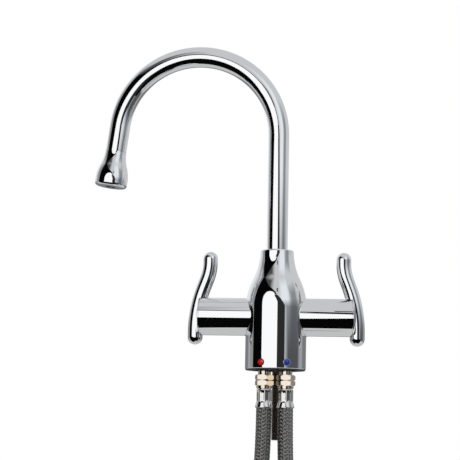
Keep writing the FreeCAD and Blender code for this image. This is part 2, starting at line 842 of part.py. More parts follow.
def valve_stack():
    """Distances from the tap's centre line at which each cartridge piece starts."""
    seal = size.seat_distance
    fixed = seal + size.seal_ring_height
    moving = fixed + size.disc_thickness + size.film_gap
    drive = moving + size.disc_thickness
    flange = size.barrel_end - size.mouth_depth
    return SimpleNamespace(seal=seal, fixed=fixed, moving=moving, drive=drive, flange=flange)


def make_cartridge_body(side):
    """Brass shell of a quarter-turn cartridge: disc bore, thread, flange, hexagon and neck."""
    body = new_body(f"{side.name}_cartridge_body")
    stack = valve_stack()
    thread = size.valve_radius - size.close_fit
    disc_bore = size.disc_radius + size.film_gap
    shoulder = size.spindle_collar_place + size.spindle_collar_height + size.film_gap
    hex_start = stack.flange + size.cartridge_flange_thickness
    hex_end = hex_start + size.cartridge_hex_height
    ring_floor = size.valve_radius - size.cartridge_oring * 2 - size.close_fit
    ring_place = stack.flange - size.cartridge_oring * 2 - size.film_gap
    turn(body, "shell", [
        (disc_bore, size.seat_distance + size.face_gap),
        (size.cartridge_radius, size.seat_distance + size.face_gap),
        (size.cartridge_radius, stack.flange - size.cartridge_thread + size.window_height),
        (thread, stack.flange - size.cartridge_thread + size.window_height),
        (thread, ring_place),
        (ring_floor, ring_place),
        (ring_floor, stack.flange),
        (size.cartridge_flange, stack.flange),
        (size.cartridge_flange, hex_start),
        (size.cartridge_neck, hex_start),
        (size.cartridge_neck, size.cartridge_neck_end),
        (size.spindle_radius + size.running_fit, size.cartridge_neck_end),
        (size.spindle_radius + size.running_fit, shoulder),
        (disc_bore, shoulder),
    ])
    hexagon(body, "spanner_hexagon", size.cartridge_hex, size.cartridge_hex_height, (0, 0, hex_start))
    bevel_hexagon(body, "hexagon_bevel", size.cartridge_hex, hex_end, upward=True)
    drill(body, "neck_bore", size.spindle_radius + size.running_fit, size.cartridge_hex_height * 2,
          (0, 0, hex_start - size.face_gap))
    window = {"Length": size.window_width, "Width": size.valve_radius * 3, "Height": size.window_height}
    primitive(body, "SubtractiveBox", "windows", window,
              (-size.window_width / 2, -size.valve_radius * 1.5, stack.drive + size.drive_depth))
    put_in_valve(body, side)


def disc(side, name, start, slotted):
    """Ceramic disc with two round ports, and a drive slot across its back where it is the moving one."""
    body = new_body(f"{side.name}_{name}")
    turn(body, "disc", [
        (0, start),
        (size.disc_radius, start),
        (size.disc_radius, start + size.disc_thickness),
        (0, start + size.disc_thickness),
    ])
    for index, sign in enumerate((1, -1)):
        drill(body, f"port_{index}", size.port_radius, size.disc_thickness * 3,
              (0, size.port_reach * sign, start - size.disc_thickness))
    if slotted:
        slot = {"Length": size.disc_radius * 4, "Width": size.drive_width + size.film_gap * 2,
                "Height": size.drive_depth * 2}
        primitive(body, "SubtractiveBox", "drive_slot", slot,
                  (-size.disc_radius * 2, -size.drive_width / 2 - size.film_gap,
                   start + size.disc_thickness - size.drive_depth))
    put_in_valve(body, side)


def make_seat_seal(side):
    """Rubber ring pressed between the casting's seat and the fixed disc."""
    body = new_body(f"{side.name}_seat_seal")
    stack = valve_stack()
    turn(body, "ring", [
        (size.seal_ring_bore, stack.seal),
        (size.disc_radius, stack.seal),
        (size.disc_radius, stack.fixed),
        (size.seal_ring_bore, stack.fixed),
    ])
    put_in_valve(body, side)


def make_cartridge_oring(side):
    stack = valve_stack()
    place = (stack.flange - size.cartridge_oring - size.film_gap / 2) * side.sign
    ring = torus(f"{side.name}_cartridge_oring", size.valve_radius - size.cartridge_oring - size.close_fit,
                 size.cartridge_oring)
    put(ring, (place, 0, size.arm_height), valve_rotation(side))


def make_spindle(side):
    """Brass spindle: tongue for the moving disc, bearing collar, O-ring groove, square lever end."""
    body = new_body(f"{side.name}_spindle")
    stack = valve_stack()
    collar = size.spindle_collar_place
    groove = size.spindle_oring * 2 + size.close_fit
    place = size.spindle_oring_place
    ring_floor = size.spindle_radius - size.spindle_oring * 2
    turn(body, "shaft", [
        (0, stack.drive),
        (size.spindle_waist, stack.drive),
        (size.spindle_waist, collar),
        (size.spindle_collar, collar),
        (size.spindle_collar, collar + size.spindle_collar_height),
        (size.spindle_radius, collar + size.spindle_collar_height),
        (size.spindle_radius, place - groove / 2),
        (ring_floor, place - groove / 2),
        (ring_floor, place + groove / 2),
        (size.spindle_radius, place + groove / 2),
        (size.spindle_radius, size.spindle_end - size.edge_break),
        (size.spindle_radius - size.edge_break, size.spindle_end),
        (0, size.spindle_end),
    ])
    tongue = {"Length": size.tongue_length, "Width": size.drive_width,
              "Height": size.drive_depth + size.tongue_root}
    tongue_start = stack.drive - size.drive_depth + size.film_gap
    primitive(body, "AdditiveBox", "tongue", tongue,
              (-size.tongue_length / 2, -size.drive_width / 2, tongue_start))
    half = size.spindle_square / 2
    cutter = {"Length": size.spindle_radius * 4, "Width": size.spindle_radius * 2,
              "Height": size.spindle_end - size.spindle_square_start + 1}
    for index in range(4):
        quarter = FreeCAD.Rotation(FreeCAD.Vector(0, 0, 1), 90 * index)
        corner = quarter.multVec(FreeCAD.Vector(-2, 0, 0))
        outward = quarter.multVec(FreeCAD.Vector(0, 1, 0))
        spot = (size.spindle_radius * round(corner.x) + half * round(outward.x),
                size.spindle_radius * round(corner.y) + half * round(outward.y),
                size.spindle_square_start)
        primitive(body, "SubtractiveBox", f"flat_{index}", cutter, spot, quarter)
    put_in_valve(body, side)


def make_spindle_oring(side):
    ring = torus(f"{side.name}_spindle_oring", size.spindle_radius - size.spindle_oring + size.close_fit / 2,
                 size.spindle_oring)
    put(ring, (size.spindle_oring_place * side.sign, 0, size.arm_height), valve_rotation(side))


def lever_path():
    """S-shaped centre line of the lever rod as (height above the valve axis, distance outward)."""
    lean = size.lever_lean
    lower, upper = size.lever_lower_bend, size.lever_upper_bend
    first = (-size.lever_drop + size.lever_foot_run, size.lever_foot_out)
    second = (first[0] + lower * sine(lean), first[1] - lower * (as_size(1) - cosine(lean)))
    third_out = size.lever_top_out + upper * (as_size(1) - cosine(lean))
    third = (second[0] + (second[1] - third_out) * cosine(lean) / sine(lean), third_out)
    fourth = (third[0] + upper * sine(lean), size.lever_top_out)
    return [
        (-size.lever_drop, size.lever_foot_out),
        (*first, -lower),
        second,
        (*third, upper),
        fourth,
        (size.lever_rise, size.lever_top_out),
    ]


def make_lever(side):
    """One casting: an S-shaped round rod with ball ends, on a domed hub that caps the barrel."""
    body = new_body(f"{side.name}_lever")
    seam = size.barrel_end + size.face_gap
    rim = seam + size.hub_rim
    skirt = size.mouth_radius - size.face_gap
    sweep(body, "rod", lever_path(), (size.rod_radius,), "YZ_Plane",
          (0, size.lever_foot_out), -size.lever_drop)
    ends = (
        ("foot_ball", -size.lever_drop, size.lever_foot_out),
        ("tip_ball", size.lever_rise, size.lever_top_out),
    )
    for name, height, out in ends:
        primitive(body, "AdditiveSphere", name, {"Radius": size.rod_radius}, (height, 0, out))
    drill(body, "barrel_clearance", size.barrel_radius + size.face_gap, seam, ORIGIN)
    hub_square = size.barrel_radius * size.barrel_radius
    dome_radius = (hub_square + size.hub_dome * size.hub_dome) / (size.hub_dome * 2)
    skirt_end = seam - size.hub_skirt_depth
    turn(body, "hub", [
        (0, seam),
        (skirt - size.hub_skirt, seam),
        (skirt - size.hub_skirt, skirt_end),
        (skirt, skirt_end),
        (skirt, seam),
        (size.barrel_radius, seam),
        (size.barrel_radius, rim, dome_radius),
        (0, rim + size.hub_dome),
    ])
    socket = size.spindle_square / 2 + size.close_fit
    well = {"Length": socket * 2, "Width": socket * 2, "Height": size.spindle_end - seam + size.face_gap * 2}
    primitive(body, "SubtractiveBox", "square_socket", well, (-socket, -socket, seam - size.face_gap))
    drill(body, "screw_hole", size.lever_screw_radius, size.rod_radius * 2, (0, 0, size.lever_screw_place),
          screw_turn(side))
    put_in_valve(body, side)


def screw_turn(side):
    """Point a valve piece's drilling to the back of the tap, whichever way its own Y axis lies."""
    return ALONG_Y if side is HOT else FreeCAD.Rotation(FreeCAD.Vector(1, 0, 0), 90)


def make_lever_screw(side):
    """Grub screw at the back of the lever, which clamps it to a flat of the spindle."""
    body = new_body(f"{side.name}_lever_screw")
    start = size.spindle_square / 2
    end = start + size.lever_screw_length
    radius = size.lever_screw_radius - size.close_fit
    turn(body, "screw", [
        (0, start),
        (radius - size.edge_break, start),
        (radius, start + size.edge_break),
        (radius, end),
        (0, end),
    ])
    hexagon(body, "key_socket", size.lever_screw_radius, size.lever_screw_radius,
            (0, 0, end - size.lever_screw_radius / 2), cut=True)
    place = (size.lever_screw_place * side.sign, 0, size.arm_height)
    put(body, place, valve_rotation(side).multiply(screw_turn(side)))


# ---------------------------------------------------------------- hoses and their fittings

def tail_levels():
    """Heights of the hose tail's steps, measured down from the worktop plane."""
    hex_top = -size.tail_neck
    hex_bottom = hex_top - size.tail_hex_height
    flange = hex_bottom - size.tail_flange_thickness
    ferrule = flange - size.ferrule_length
    return SimpleNamespace(hex_top=hex_top, hex_bottom=hex_bottom, flange=flange, ferrule=ferrule,
                           flare=ferrule - size.flare_length)


def put_at_tail(thing, side):
    """Turn a fitting as its hexagon stands after tightening, and set it under its socket."""
    angle = size.hot_hex_turn if side is HOT else size.cold_hex_turn
    turned = FreeCAD.Rotation(FreeCAD.Vector(0, 0, 1), angle.value)
    put(thing, (size.hose_spread * side.sign, -size.hose_forward, 0), turned)


def make_hose_tail(side):
    """Nickel tail screwed into the casting: thread, O-ring groove, neck, hexagon, hose nipple."""
    body = new_body(f"{side.name}_hose_tail")
    level = tail_levels()
    ring_bottom = size.seal_thickness
    ring_top = ring_bottom + size.tail_oring_depth
    ring_floor = size.tail_radius - size.tail_oring / 2
    neck_top = ring_bottom - size.edge_break
    nipple_end = level.flange - size.tail_nipple_length
    recess = size.tail_flange_recess
    recess_floor = size.tail_flange - recess
    turn(body, "tail", [
        (size.tail_bore, nipple_end),
        (size.tail_nipple, nipple_end),
        (size.tail_nipple, level.flange),
        (recess_floor, level.flange),
        (recess_floor, level.flange + recess),
        (size.tail_flange, level.flange + recess),
        (size.tail_flange, level.hex_bottom - recess),
        (recess_floor, level.hex_bottom - recess),
        (recess_floor, level.hex_bottom),
        (size.tail_neck_radius, level.hex_bottom),
        (size.tail_neck_radius, neck_top),
        (size.tail_radius, neck_top),
        (size.tail_radius, ring_bottom),
        (ring_floor, ring_bottom),
        (ring_floor, ring_top),
        (size.tail_radius, ring_top),
        (size.tail_radius, ring_bottom + size.tail_grip - size.edge_break),
        (size.tail_radius - size.edge_break, ring_bottom + size.tail_grip),
        (size.tail_bore, ring_bottom + size.tail_grip),
    ])
    hexagon(body, "spanner_hexagon", size.tail_hex, size.tail_hex_height, (0, 0, level.hex_bottom))
    bevel_hexagon(body, "upper_bevel", size.tail_hex, level.hex_top, upward=True)
    bevel_hexagon(body, "lower_bevel", size.tail_hex, level.hex_bottom, upward=False)
    middle = (level.hex_top + level.hex_bottom) / 2
    floor = size.tail_hex / 2 - size.tail_groove_depth
    rim = size.tail_hex * BEVEL_REACH
    spread = (rim - floor) * GROOVE_SLOPE
    turn(body, "middle_groove", [(floor, middle), (rim, middle - spread), (rim, middle + spread)], cut=True)
    drill(body, "water_way", size.tail_bore, size.seal_thickness - level.flange, (0, 0, level.flange))
    put_at_tail(body, side)


def make_tail_oring(side):
    height = size.seal_thickness + size.tail_oring_depth / 2
    ring_radius = size.tail_radius + size.tail_oring / 2 - size.close_fit
    ring = torus(f"{side.name}_tail_oring", ring_radius, size.tail_oring - size.film_gap)
    put(ring, (size.hose_spread * side.sign, -size.hose_forward, height))


def ferrule_outline(top, bottom, bore):
    """Crimped sleeve from its flange side to the flare that meets the braid, either way up."""
    way = 1 if bottom.value < top.value else -1
    return [
        (bore, bottom),
        (size.flare_radius, bottom),
        (size.flare_radius, bottom + size.flare_lip * way),
        (size.ferrule_radius, bottom + size.flare_length * way),
        (size.ferrule_radius, top - size.edge_break * way),
        (size.ferrule_radius - size.edge_break, top),
        (bore, top),
    ]


def make_upper_ferrule(side):
    body = new_body(f"{side.name}_upper_ferrule")
    level = tail_levels()
    turn(body, "sleeve", ferrule_outline(level.flange, level.flare, size.tail_nipple + size.close_fit))
    put_at_tail(body, side)


def hose_corner(side, corner):
    """A corner of a hose's route, moved from the ferrule's end to where that is on the tap."""
    start = (size.hose_spread * side.sign, -size.hose_forward, tail_levels().flare)
    return tuple(base + shift for base, shift in zip(start, corner))


def hose_centre_line(side):
    """Straight runs joined by tangent arcs, and the radius of each arc."""
    route = [hose_corner(side, corner) for corner in HOSE_ROUTES[side.name]]
    corners = [FreeCAD.Vector(*[coordinate.value for coordinate in corner]) for corner in route]
    edges = []
    radii = []
    place = corners[0]
    for before, corner, after in zip(corners, corners[1:], corners[2:]):
        into, away = corner - before, after - corner
        setback = ARC_SHARE * min(into.Length, away.Length)
        half_turn = into.getAngle(away) / 2
        radii.append(setback / math.tan(half_turn))
        start = corner - into.normalize() * setback
        end = corner + away.normalize() * setback
        to_centre = (away - into).normalize() * (radii[-1] / math.cos(half_turn))
        middle = corner + to_centre - (away - into).normalize() * radii[-1]
        edges.append(Part.LineSegment(place, start).toShape())
        edges.append(Part.Arc(start, middle, end).toShape())
        place = end
    edges.append(Part.LineSegment(place, corners[-1]).toShape())
    return Part.Wire(edges), radii


def make_hose(side):
    """Braided hose as a tube of its real length, hanging from its ferrule with a slight bow."""
    centre_line, radii = hose_centre_line(side)
    start = centre_line.Vertexes[0].Point
    down = FreeCAD.Vector(0, 0, -1)
    solids = []
    outer, inner = size.hose_radius.value, size.hose_radius.value - size.hose_wall.value
    for radius in (outer, inner):
        circle = Part.Wire(Part.Circle(start, down, radius).toShape())
        solids.append(centre_line.makePipeShell([circle], True, False))
    hose = doc.addObject("Part::Feature", f"{side.name}_hose")
    hose.Label = f"{side.name}_hose"
    hose.Shape = solids[0].cut(solids[1])
    hose.Placement = FreeCAD.Placement()
    sub_parts.append(hose)
    section = math.pi * (outer ** 2 - inner ** 2)
    turns = ", ".join(f"{radius:.0f}" for radius in radii)
    print(f"{side.name} hose: {centre_line.Length:.1f} mm long, arc radii {turns} mm, "
          f"volume / (section x length) = {hose.Shape.Volume / (section * centre_line.Length):.4f}")


def put_at_hose_end(thing, side):
    put(thing, hose_corner(side, HOSE_ROUTES[side.name][-1]))


def union_levels():
    """Heights of the lower fittings' steps, measured down from the hose's end."""
    ferrule = -size.ferrule_length - size.flare_length
    nut_top = ferrule - size.tail_flange_thickness
    shoulder = nut_top - size.union_shoulder
    flange = shoulder - size.face_gap
    washer = flange - size.stem_flange_thickness
    return SimpleNamespace(ferrule=ferrule, nut_top=nut_top, shoulder=shoulder, flange=flange, washer=washer)


def make_lower_ferrule(side):
    body = new_body(f"{side.name}_lower_ferrule")
    bore = size.tail_nipple + size.close_fit
    turn(body, "sleeve", ferrule_outline(union_levels().ferrule, as_size(0), bore))
    put_at_hose_end(body, side)


def make_hose_stem(side):
    """Brass stem in the hose's lower end; its flange holds the union nut on."""
    body = new_body(f"{side.name}_hose_stem")
    level = union_levels()
    turn(body, "stem", [
        (size.tail_bore, level.washer),
        (size.stem_flange, level.washer),
        (size.stem_flange, level.flange),
        (size.stem_radius, level.flange),
        (size.stem_radius, level.ferrule),
        (size.tail_nipple, level.ferrule),
        (size.tail_nipple, level.ferrule + size.tail_nipple_length),
        (size.tail_bore, level.ferrule + size.tail_nipple_length),
    ])
    put_at_hose_end(body, side)


def make_union_nut(side):
    """Swivel nut that spins freely on the stem and takes the supply's threaded end."""
    body = new_body(f"{side.name}_union_nut")
    level = union_levels()
    bottom = level.nut_top - size.union_length
    hexagon(body, "nut", size.union_hex, size.union_length, (0, 0, bottom))
    bevel_hexagon(body, "upper_bevel", size.union_hex, level.nut_top, upward=True)
    bevel_hexagon(body, "lower_bevel", size.union_hex, bottom, upward=False)
    drill(body, "eye", size.union_eye, size.union_length, (0, 0, bottom))
    drill(body, "thread_bore", size.union_bore, level.shoulder - bottom, (0, 0, bottom))
    relief_floor = level.washer - size.union_washer
    drill(body, "thread_relief", size.union_relief, level.shoulder - relief_floor, (0, 0, relief_floor))
    put_at_hose_end(body, side)


def make_union_washer(side):
    """Fibre washer against the stem's flange."""
    body = new_body(f"{side.name}_union_washer")
    level = union_levels()
    turn(body, "washer", [
        (size.tail_nipple, level.washer - size.union_washer),
        (size.union_bore - size.face_gap, level.washer - size.union_washer),
        (size.union_bore - size.face_gap, level.washer),
        (size.tail_nipple, level.washer),
    ])
    put_at_hose_end(body, side)


# ---------------------------------------------------------------- assembly

def make_all():
    make_tap_body()
    make_base_seal()
    make_mark_bezels()
    make_fixing_stud()
    make_spout_keeper()
    make_glide_ring()
    make_spout_tube()
    make_spout_liner()
    make_spout_foot()
    make_spout_orings()
    make_outlet_nozzle()
    make_aerator()
    make_aerator_seal()
    stack = valve_stack()
    for side in SIDES:
        make_mark(side)
        make_seat_seal(side)
        disc(side, "fixed_disc", stack.fixed, slotted=False)
        disc(side, "moving_disc", stack.moving, slotted=True)
        make_cartridge_body(side)
        make_cartridge_oring(side)
        make_spindle(side)
        make_spindle_oring(side)
        make_lever(side)
        make_lever_screw(side)
        make_hose_tail(side)
        make_tail_oring(side)
        make_upper_ferrule(side)
        make_hose(side)
        make_lower_ferrule(side)
        make_hose_stem(side)
        make_union_nut(side)
        make_union_washer(side)
    doc.recompute()


def check_and_export():
    """Stop on any feature or solid that did not come out right, then write one file per sub-part."""
    for thing in doc.Objects:
        faults = {"Invalid", "Error"} & set(thing.State)
        if faults:
            raise RuntimeError(f"{thing.Label}: {faults}")
    os.makedirs("parts", exist_ok=True)
    for part in sub_parts:
        shape = part.Shape
        if shape.isNull() or not shape.isValid() or not shape.Solids:
            raise RuntimeError(f"{part.Label}: no valid solid")
        shape.exportStep(f"parts/{part.Label}.step")
        print(f"{part.Label}: {len(shape.Solids)} solid, {shape.Volume:.1f} mm3")


make_all()
check_and_export()
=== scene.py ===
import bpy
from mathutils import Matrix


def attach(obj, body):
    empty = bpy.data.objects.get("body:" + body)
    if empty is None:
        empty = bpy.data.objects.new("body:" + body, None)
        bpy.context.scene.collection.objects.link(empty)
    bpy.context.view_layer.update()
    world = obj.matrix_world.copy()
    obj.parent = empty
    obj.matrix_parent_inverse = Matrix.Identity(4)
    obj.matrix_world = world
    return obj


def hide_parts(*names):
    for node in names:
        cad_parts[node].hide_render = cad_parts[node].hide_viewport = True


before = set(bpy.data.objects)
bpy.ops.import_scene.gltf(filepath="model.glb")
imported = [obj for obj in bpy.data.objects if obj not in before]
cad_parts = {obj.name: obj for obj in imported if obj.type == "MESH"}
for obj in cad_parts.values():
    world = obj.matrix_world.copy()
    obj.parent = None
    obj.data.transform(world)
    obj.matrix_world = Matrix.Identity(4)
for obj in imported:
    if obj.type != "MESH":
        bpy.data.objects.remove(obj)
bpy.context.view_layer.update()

import math
import bpy
from mathutils import Matrix, Vector

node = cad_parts

# The casting: one brass piece with a bottle-shaped body and two side barrels, machined, polished
# and chrome plated. The plate is a mirror with a faint haze where the polishing wheel has passed.


def shader_of(finish):
    return finish.node_tree.nodes["Principled BSDF"]


def start_finish(name, colour, metal=0.0, rough=0.5):
    """A finish with its even colour and gloss set on the shader itself."""
    finish = bpy.data.materials.new(name)
    finish.use_nodes = True
    shader = shader_of(finish)
    shader.inputs["Base Color"].default_value = (*colour, 1)
    shader.inputs["Metallic"].default_value = metal
    shader.inputs["Roughness"].default_value = rough
    return finish


def add_node(finish, kind, **settings):
    """A new step in a finish, with its settings."""
    made = finish.node_tree.nodes.new(kind)
    for setting, value in settings.items():
        setattr(made, setting, value)
    return made


def join(finish, source, target):
    """Lead one step's result into the next step."""
    finish.node_tree.links.new(source, target)


def cloudy(finish, scale, stretch=(1, 1, 1), detail=4.0):
    """Noise that stays with the piece, with a scale in patches per metre."""
    place = add_node(finish, "ShaderNodeTexCoord")
    mapping = add_node(finish, "ShaderNodeMapping")
    mapping.inputs["Scale"].default_value = stretch
    noise = add_node(finish, "ShaderNodeTexNoise")
    noise.inputs["Scale"].default_value = scale
    noise.inputs["Detail"].default_value = detail
    join(finish, place.outputs["Object"], mapping.inputs["Vector"])
    join(finish, mapping.outputs["Vector"], noise.inputs["Vector"])
    return noise.outputs["Fac"]


def gloss_between(finish, source, low, high):
    """Roughness from low to high over the range that most of the noise lies in."""
    spread = add_node(finish, "ShaderNodeMapRange")
    spread.inputs["From Min"].default_value = 0.3
    spread.inputs["From Max"].default_value = 0.7
    spread.inputs["To Min"].default_value = low
    spread.inputs["To Max"].default_value = high
    join(finish, source, spread.inputs["Value"])
    join(finish, spread.outputs["Result"], shader_of(finish).inputs["Roughness"])


def raise_surface(finish, source, depth):
    """A fine relief with its depth in metres."""
    bump = add_node(finish, "ShaderNodeBump")
    bump.inputs["Distance"].default_value = depth
    bump.inputs["Strength"].default_value = 1.0
    join(finish, source, bump.inputs["Height"])
    join(finish, bump.outputs["Normal"], shader_of(finish).inputs["Normal"])


def dress(finish, *names):
    """Give pieces that keep their own shape their finish."""
    for name in names:
        slots = node[name].data.materials
        slots.clear()
        slots.append(finish)


chrome = start_finish("polished_chrome_plate", (0.90, 0.905, 0.915), metal=1.0)
gloss_between(chrome, cloudy(chrome, 30, detail=2.0), 0.01, 0.025)
raise_surface(chrome, cloudy(chrome, 60, detail=1.0), 0.000002)
dress(chrome, "tap_body")

# The base seal: a moulded rubber ring between the casting and the worktop. It keeps water out of
# the worktop's hole, and shows only as a thin dark line.

black_rubber = start_finish("moulded_black_rubber", (0.018, 0.018, 0.019))
gloss_between(black_rubber, cloudy(black_rubber, 900), 0.5, 0.75)
raise_surface(black_rubber, cloudy(black_rubber, 2500), 0.00003)
dress(black_rubber, "base_seal")

# The hot and cold marks: glossy enamel buttons with a shallow crown, red for hot and blue for
# cold. Each is pressed into a chrome-plated bezel low on the casting's front.

mark_colours = {"hot": (0.50, 0.003, 0.005), "cold": (0.004, 0.028, 0.30)}

dress(chrome, "mark_bezels")
for side, colour in mark_colours.items():
    enamel = start_finish(f"{side}_mark_enamel", colour)
    shader_of(enamel).inputs["Coat Weight"].default_value = 0.8
    shader_of(enamel).inputs["Coat Roughness"].default_value = 0.03
    gloss_between(enamel, cloudy(enamel, 700), 0.1, 0.22)
    raise_surface(enamel, cloudy(enamel, 500, detail=1.0), 0.00001)
    dress(enamel, f"{side}_mark")

# The ceramic valves: a turned brass cartridge in each barrel, with a brass spindle and two lapped
# ceramic discs. The cartridges screw in and their rubber rings seal them.

sides = ("hot", "cold")

# A band wave repeats every 0.314 m at a scale of 1, and the lathe's tool moves 0.3 mm in a turn.
band_repeat = 0.314
turning_feed = 0.0003


def turning_lines(finish, direction):
    """Fine rings that a lathe tool leaves, running round the given axis."""
    place = add_node(finish, "ShaderNodeTexCoord")
    wave = add_node(finish, "ShaderNodeTexWave", wave_type="BANDS", bands_direction=direction)
    wave.inputs["Scale"].default_value = band_repeat / turning_feed
    wave.inputs["Distortion"].default_value = 0.6
    wave.inputs["Detail"].default_value = 2.0
    join(finish, place.outputs["Object"], wave.inputs["Vector"])
    return wave.outputs["Fac"]


def turned_brass(name, direction):
    """Bright brass, turned about the given axis."""
    brass = start_finish(name, (0.78, 0.58, 0.28), metal=1.0)
    gloss_between(brass, cloudy(brass, 300), 0.2, 0.36)
    raise_surface(brass, turning_lines(brass, direction), 0.00001)
    return brass


valve_brass = turned_brass("turned_valve_brass", "X")

ceramic = start_finish("lapped_ceramic", (0.86, 0.84, 0.79))
gloss_between(ceramic, cloudy(ceramic, 1200), 0.18, 0.32)
raise_surface(ceramic, cloudy(ceramic, 5000), 0.000004)

for side in sides:
    dress(valve_brass, f"{side}_cartridge_body", f"{side}_spindle")
    dress(ceramic, f"{side}_fixed_disc", f"{side}_moving_disc")
    dress(black_rubber, f"{side}_seat_seal", f"{side}_cartridge_oring", f"{side}_spindle_oring")

# The levers: cast S-shaped rods on domed hubs, polished and plated like the casting. Each is held
# to its spindle's square by a stainless grub screw at the back.

stainless = start_finish("drawn_stainless_steel", (0.70, 0.69, 0.67), metal=1.0)
gloss_between(stainless, cloudy(stainless, 700, stretch=(1, 1, 0.1)), 0.16, 0.3)
raise_surface(stainless, cloudy(stainless, 1800, stretch=(1, 1, 0.05)), 0.000008)

for side in sides:
    dress(chrome, f"{side}_lever")
    dress(stainless, f"{side}_lever_screw")

# The swivel bearing: a turned brass foot with two O-rings, an acetal glide ring at the collar's
# mouth, and a stainless grub screw from the back that keeps the spout in.

foot_brass = turned_brass("turned_foot_brass", "Z")
dress(foot_brass, "spout_foot")

acetal = start_finish("black_acetal", (0.035, 0.035, 0.036))
gloss_between(acetal, cloudy(acetal, 800), 0.34, 0.5)
raise_surface(acetal, cloudy(acetal, 3500), 0.00001)
dress(acetal, "glide_ring")
dress(black_rubber, "spout_oring_lower", "spout_oring_upper")
dress(stainless, "spout_keeper")

# The spout: a bent chrome tube with a silicone liner inside it, and a bell-shaped chrome nozzle.
# A dark acetal flow straightener with rings of small holes is screwed into the nozzle.

silicone = start_finish("milky_silicone", (0.80, 0.79, 0.75))
shader_of(silicone).inputs["Transmission Weight"].default_value = 0.25
gloss_between(silicone, cloudy(silicone, 400), 0.3, 0.5)
raise_surface(silicone, cloudy(silicone, 900), 0.00002)
dress(chrome, "spout_tube", "outlet_nozzle")
dress(silicone, "spout_liner")
dress(acetal, "aerator")
dress(black_rubber, "aerator_seal")

# The hose tails: nickel-plated brass, with a thread that screws into the casting, a hexagon with
# a groove round its middle, and a flange. The plate is warm and a little less sharp than chrome.

nickel = start_finish("bright_nickel_plate", (0.86, 0.77, 0.66), metal=1.0)
gloss_between(nickel, cloudy(nickel, 420), 0.05, 0.11)
raise_surface(nickel, cloudy(nickel, 900, stretch=(1, 1, 0.3)), 0.000004)

for side in sides:
    dress(nickel, f"{side}_hose_tail")
    dress(black_rubber, f"{side}_tail_oring")

# The ferrules: thin stainless sleeves, one at each end of each hose, squeezed on to the hose by a
# crimping tool that leaves long flutes round them, and flared where the braid comes out.

flute_count = 9
flute_depth = 0.0005
ridge_sharpness = 5
crimp_start = 0.0048
crimp_end = 0.0156
crimp_fade = 0.0012
steps_per_flute = 16
crimp_steps = flute_count * steps_per_flute

# Distances from the flared mouth, and radii, from the bore round the outside and back to the bore.
ferrule_profile = (
    (0.0, 0.0035), (0.0, 0.0078), (0.0002, 0.008), (0.0007, 0.008), (0.0009, 0.00796), (0.0016, 0.00778),
    (0.0024, 0.00757), (0.0032, 0.00736), (0.0040, 0.00715), (0.0046, 0.007), (0.0050, 0.0069),
    (0.0056, 0.0069), (0.0062, 0.0069), (0.0070, 0.0069), (0.0085, 0.0069), (0.0105, 0.0069),
    (0.0125, 0.0069), (0.0140, 0.0069), (0.0150, 0.0069), (0.0156, 0.0069), (0.0160, 0.0068),
    (0.0162, 0.0063), (0.0166, 0.0062), (0.0170, 0.0064), (0.0170, 0.0035),
)

crimped_steel = start_finish("crimped_stainless_sleeve", (0.80, 0.79, 0.77), metal=1.0)
gloss_between(crimped_steel, cloudy(crimped_steel, 500, stretch=(1, 1, 0.2)), 0.05, 0.12)
raise_surface(crimped_steel, cloudy(crimped_steel, 900, stretch=(1, 1, 0.1)), 0.000004)


def ring_faces(rings, steps, closed=False):
    """The faces that join each ring of points to the next, and a closed form's last to its first."""
    faces = []
    for ring in range(rings if closed else rings - 1):
        here = ring * steps
        there = (ring + 1) % rings * steps
        for step in range(steps):
            nearby = (step + 1) % steps
            faces.append((here + step, here + nearby, there + nearby, there + step))
    return faces


def piece_from(name, points, faces, finishes, smooth_angle=35):
    """A piece from its points and faces, smooth where its faces meet at less than an angle."""
    mesh = bpy.data.meshes.new(name)
    mesh.from_pydata(points, [], faces)
    for finish in finishes:
        mesh.materials.append(finish)
    mesh.validate()
    piece = bpy.data.objects.new(name, mesh)
    bpy.context.scene.collection.objects.link(piece)
    mesh.shade_smooth()
    mesh.set_sharp_from_angle(angle=math.radians(smooth_angle))
    return piece


def crimped(distance, angle):
    """How far the crimping tool has pushed the sleeve in at a place on it."""
    fade_in = min(max((distance - crimp_start) / crimp_fade, 0), 1)
    fade_out = min(max((crimp_end - distance) / crimp_fade, 0), 1)
    hollow = 1 - abs(math.cos(flute_count * angle / 2)) ** ridge_sharpness
    return flute_depth * fade_in * fade_out * hollow


def make_ferrule(side, place, hose_end, away):
    """A sleeve from the hose's end, away along +Z (1) or -Z (-1)."""
    points = []
    for distance, radius in ferrule_profile:
        for step in range(crimp_steps):
            angle = 2 * math.pi * step / crimp_steps
            reach = radius - crimped(distance, angle)
            points.append((hose_end[0] + reach * math.cos(angle), hose_end[1] + reach * math.sin(angle),
                           hose_end[2] + away * distance))
    faces = ring_faces(len(ferrule_profile), crimp_steps, closed=True)
    if away < 0:
        faces = [face[::-1] for face in faces]
    piece = piece_from(f"{side}_{place}_crimp", points, faces, [crimped_steel])
    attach(piece, "tap")
    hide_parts(f"{side}_{place}_ferrule")
    return piece


# The hoses: rubber hose in a braid of flat stainless wire strands, hanging from the tap with a
# slight bow. Ten strands go round one way and ten the other, each over one and under one. A
# ferrule is crimped on each end, and the unions at the lower ends hang with the hoses.

